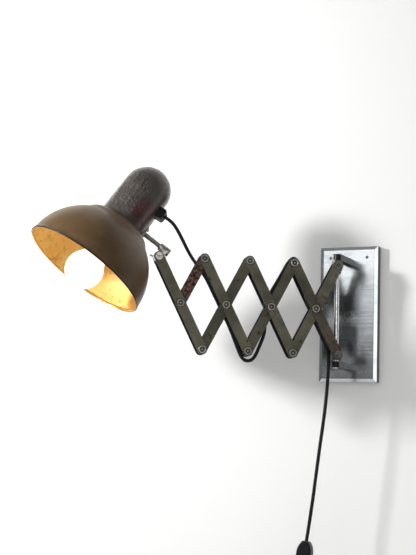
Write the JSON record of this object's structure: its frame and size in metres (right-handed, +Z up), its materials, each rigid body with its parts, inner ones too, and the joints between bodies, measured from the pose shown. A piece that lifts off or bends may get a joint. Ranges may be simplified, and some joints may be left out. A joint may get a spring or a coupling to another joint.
{
  "type": "accordion wall lamp",
  "caption": "Wall lamp with a half-round shade on a folding scissor arm that slides and swings on an upright rod in front of a steel wall plate.",
  "frame": {"origin": "middle of the wall plate's open back, on the wall surface", "axes": "+Z up along the guide rod, +Y into the wall, -Y out into the room, +X to the right as seen from the room"},
  "size_m": [0.4739, 0.3999, 0.7935],
  "materials": {
    "plate_steel": "brushed",
    "black_steel": "satin black",
    "rod_chrome": "polished",
    "screw_steel": "plain",
    "strip_paint": "worn satin",
    "rivet_nickel": "nickel",
    "head_chrome": "polished",
    "shade_lacquer": "dark bronze lacquer outside, gold inside",
    "cap_lacquer": "gloss dark lacquer",
    "holder_black": "bakelite",
    "bulb_opal": "opal",
    "bulb_cap_metal": "plain",
    "gland_black": "satin",
    "cord_black": "matte sheath",
    "switch_black": "satin",
    "plug_black": "matte",
    "pin_brass": "nickel-plated",
    "tie_black": "matte"
  },
  "bodies": {
    "wall_bracket": {"wall_plate": "plate_steel", "lug_upper": "black_steel", "lug_lower": "black_steel", "guide_rod": "rod_chrome", "stop_collar": "black_steel", "centre_screw": "screw_steel"},
    "swivel": {"swivel_block": "rod_chrome", "swivel_washers": "rivet_nickel"},
    "link_b3": {"link_b3_front": "strip_paint", "link_b3_back": "strip_paint"},
    "link_a3": {"link_a3_front": "strip_paint", "link_a3_back": "strip_paint", "pivot_mid_4": "rivet_nickel", "pivot_top_3": "rivet_nickel", "arm_cord_wall": "cord_black"},
    "slider": {"slider_block": "rod_chrome", "slider_heads": "rivet_nickel", "cord_drop": "cord_black", "switch_front": "switch_black", "switch_back": "switch_black", "cord_tail": "cord_black", "coil_tie": "tie_black", "plug_body": "plug_black", "plug_pins": "pin_brass"},
    "link_a2": {"link_a2_front": "strip_paint", "link_a2_back": "strip_paint", "pivot_bottom_3": "rivet_nickel", "pivot_mid_3": "rivet_nickel", "pivot_top_2": "rivet_nickel"},
    "link_b2": {"link_b2_front": "strip_paint", "link_b2_back": "strip_paint"},
    "link_a1": {"link_a1_front": "strip_paint", "link_a1_back": "strip_paint", "pivot_bottom_2": "rivet_nickel", "pivot_mid_2": "rivet_nickel", "pivot_top_1": "rivet_nickel", "arm_cord_middle": "cord_black"},
    "link_b1": {"link_b1_front": "strip_paint", "link_b1_back": "strip_paint"},
    "link_b0": {"link_b0_front": "strip_paint", "link_b0_back": "strip_paint"},
    "link_a0": {"link_a0_front": "strip_paint", "link_a0_back": "strip_paint", "pivot_mid_1": "rivet_nickel", "pivot_bottom_1": "rivet_nickel", "tilt_bolt": "head_chrome"},
    "wing_nut": {"wing_nut": "head_chrome"},
    "tilt_knuckle": {"knuckle": "head_chrome", "stem": "head_chrome"},
    "lamp_head": {"saddle_plate": "head_chrome", "saddle_screws": "screw_steel", "shade": "shade_lacquer", "lamp_cap": "cap_lacquer", "lamp_holder": "holder_black", "holder_ring": "holder_black", "bulb_glass": "bulb_opal", "bulb_cap": "bulb_cap_metal", "cord_gland": "gland_black", "arm_cord_lamp": "cord_black"},
    "switch_rocker": {"switch_rocker": "switch_black"}
  },
  "joints": [
    {"name": "arm_swing", "type": "hinge", "parent": "wall_bracket", "child": "swivel", "pos_m": [0, -0.076, 0], "axis": [0, 0, -1], "range_deg": [-124, 12]},
    {"name": "arm_fold", "type": "hinge", "parent": "swivel", "child": "link_b3", "pos_m": [0, -0.076, 0.07141], "axis": [-0.5446, 0.8387, 0], "range_deg": [-1.5, 40], "deforming": ["arm_cord_lamp", "arm_cord_middle", "arm_cord_wall"]},
    {"name": "fold_mid_4", "type": "hinge", "parent": "link_b3", "child": "link_a3", "pos_m": [-0.03025, -0.09564, 0], "axis": [-0.5446, 0.8387, 0], "range_deg": [-81, 4]},
    {"name": "fold_slider", "type": "hinge", "parent": "link_a3", "child": "slider", "pos_m": [0, -0.076, -0.07141], "axis": [-0.5446, 0.8387, 0], "range_deg": [-2, 40.5]},
    {"name": "fold_top_3", "type": "hinge", "parent": "link_a3", "child": "link_b2", "pos_m": [-0.0605, -0.11529, 0.07141], "axis": [-0.5446, 0.8387, 0], "range_deg": [-4, 81]},
    {"name": "fold_bottom_2", "type": "hinge", "parent": "link_b2", "child": "link_a1", "pos_m": [-0.121, -0.15458, -0.07141], "axis": [-0.5446, 0.8387, 0], "range_deg": [-81, 4]},
    {"name": "fold_top_1", "type": "hinge", "parent": "link_a1", "child": "link_b0", "pos_m": [-0.18151, -0.19387, 0.07141], "axis": [-0.5446, 0.8387, 0], "range_deg": [-4, 81]},
    {"name": "fold_mid_1", "type": "hinge", "parent": "link_b0", "child": "link_a0", "pos_m": [-0.21176, -0.21352, 0], "axis": [-0.5446, 0.8387, 0], "range_deg": [-81, 4]},
    {"name": "fold_bottom_3", "type": "hinge", "parent": "link_b3", "child": "link_a2", "pos_m": [-0.0605, -0.11529, -0.07141], "axis": [-0.5446, 0.8387, 0], "range_deg": [-81, 4]},
    {"name": "fold_top_2", "type": "hinge", "parent": "link_a2", "child": "link_b1", "pos_m": [-0.121, -0.15458, 0.07141], "axis": [-0.5446, 0.8387, 0], "range_deg": [-4, 81]},
    {"name": "lamp_tilt", "type": "hinge", "parent": "link_a0", "child": "tilt_knuckle", "pos_m": [-0.24201, -0.23316, 0.07141], "axis": [0.5446, -0.8387, 0], "range_deg": [-55, 30]},
    {"name": "lamp_turn", "type": "hinge", "parent": "tilt_knuckle", "child": "lamp_head", "pos_m": [-0.28825, -0.26319, 0.12926], "axis": [-0.6823, -0.4431, 0.5816], "range_deg": [-75, 75]},
    {"name": "wing_nut_turn", "type": "hinge", "parent": "link_a0", "child": "wing_nut", "pos_m": [-0.24201, -0.23316, 0.07141], "axis": [-0.5446, 0.8387, 0], "range_deg": [-180, 180]},
    {"name": "rocker_tip", "type": "hinge", "parent": "slider", "child": "switch_rocker", "pos_m": [-0.04561, -0.088, -0.39467], "axis": [0.9894, 0, -0.1455], "range_deg": [-14, 0]}
  ],
  "couplings": [
    {"joint": "fold_mid_4", "follows": "arm_fold", "ratio": -2},
    {"joint": "fold_slider", "follows": "arm_fold", "ratio": 1},
    {"joint": "fold_top_3", "follows": "arm_fold", "ratio": 2},
    {"joint": "fold_bottom_2", "follows": "arm_fold", "ratio": -2},
    {"joint": "fold_top_1", "follows": "arm_fold", "ratio": 2},
    {"joint": "fold_mid_1", "follows": "arm_fold", "ratio": -2},
    {"joint": "fold_bottom_3", "follows": "arm_fold", "ratio": -2},
    {"joint": "fold_top_2", "follows": "arm_fold", "ratio": 2}
  ]
}
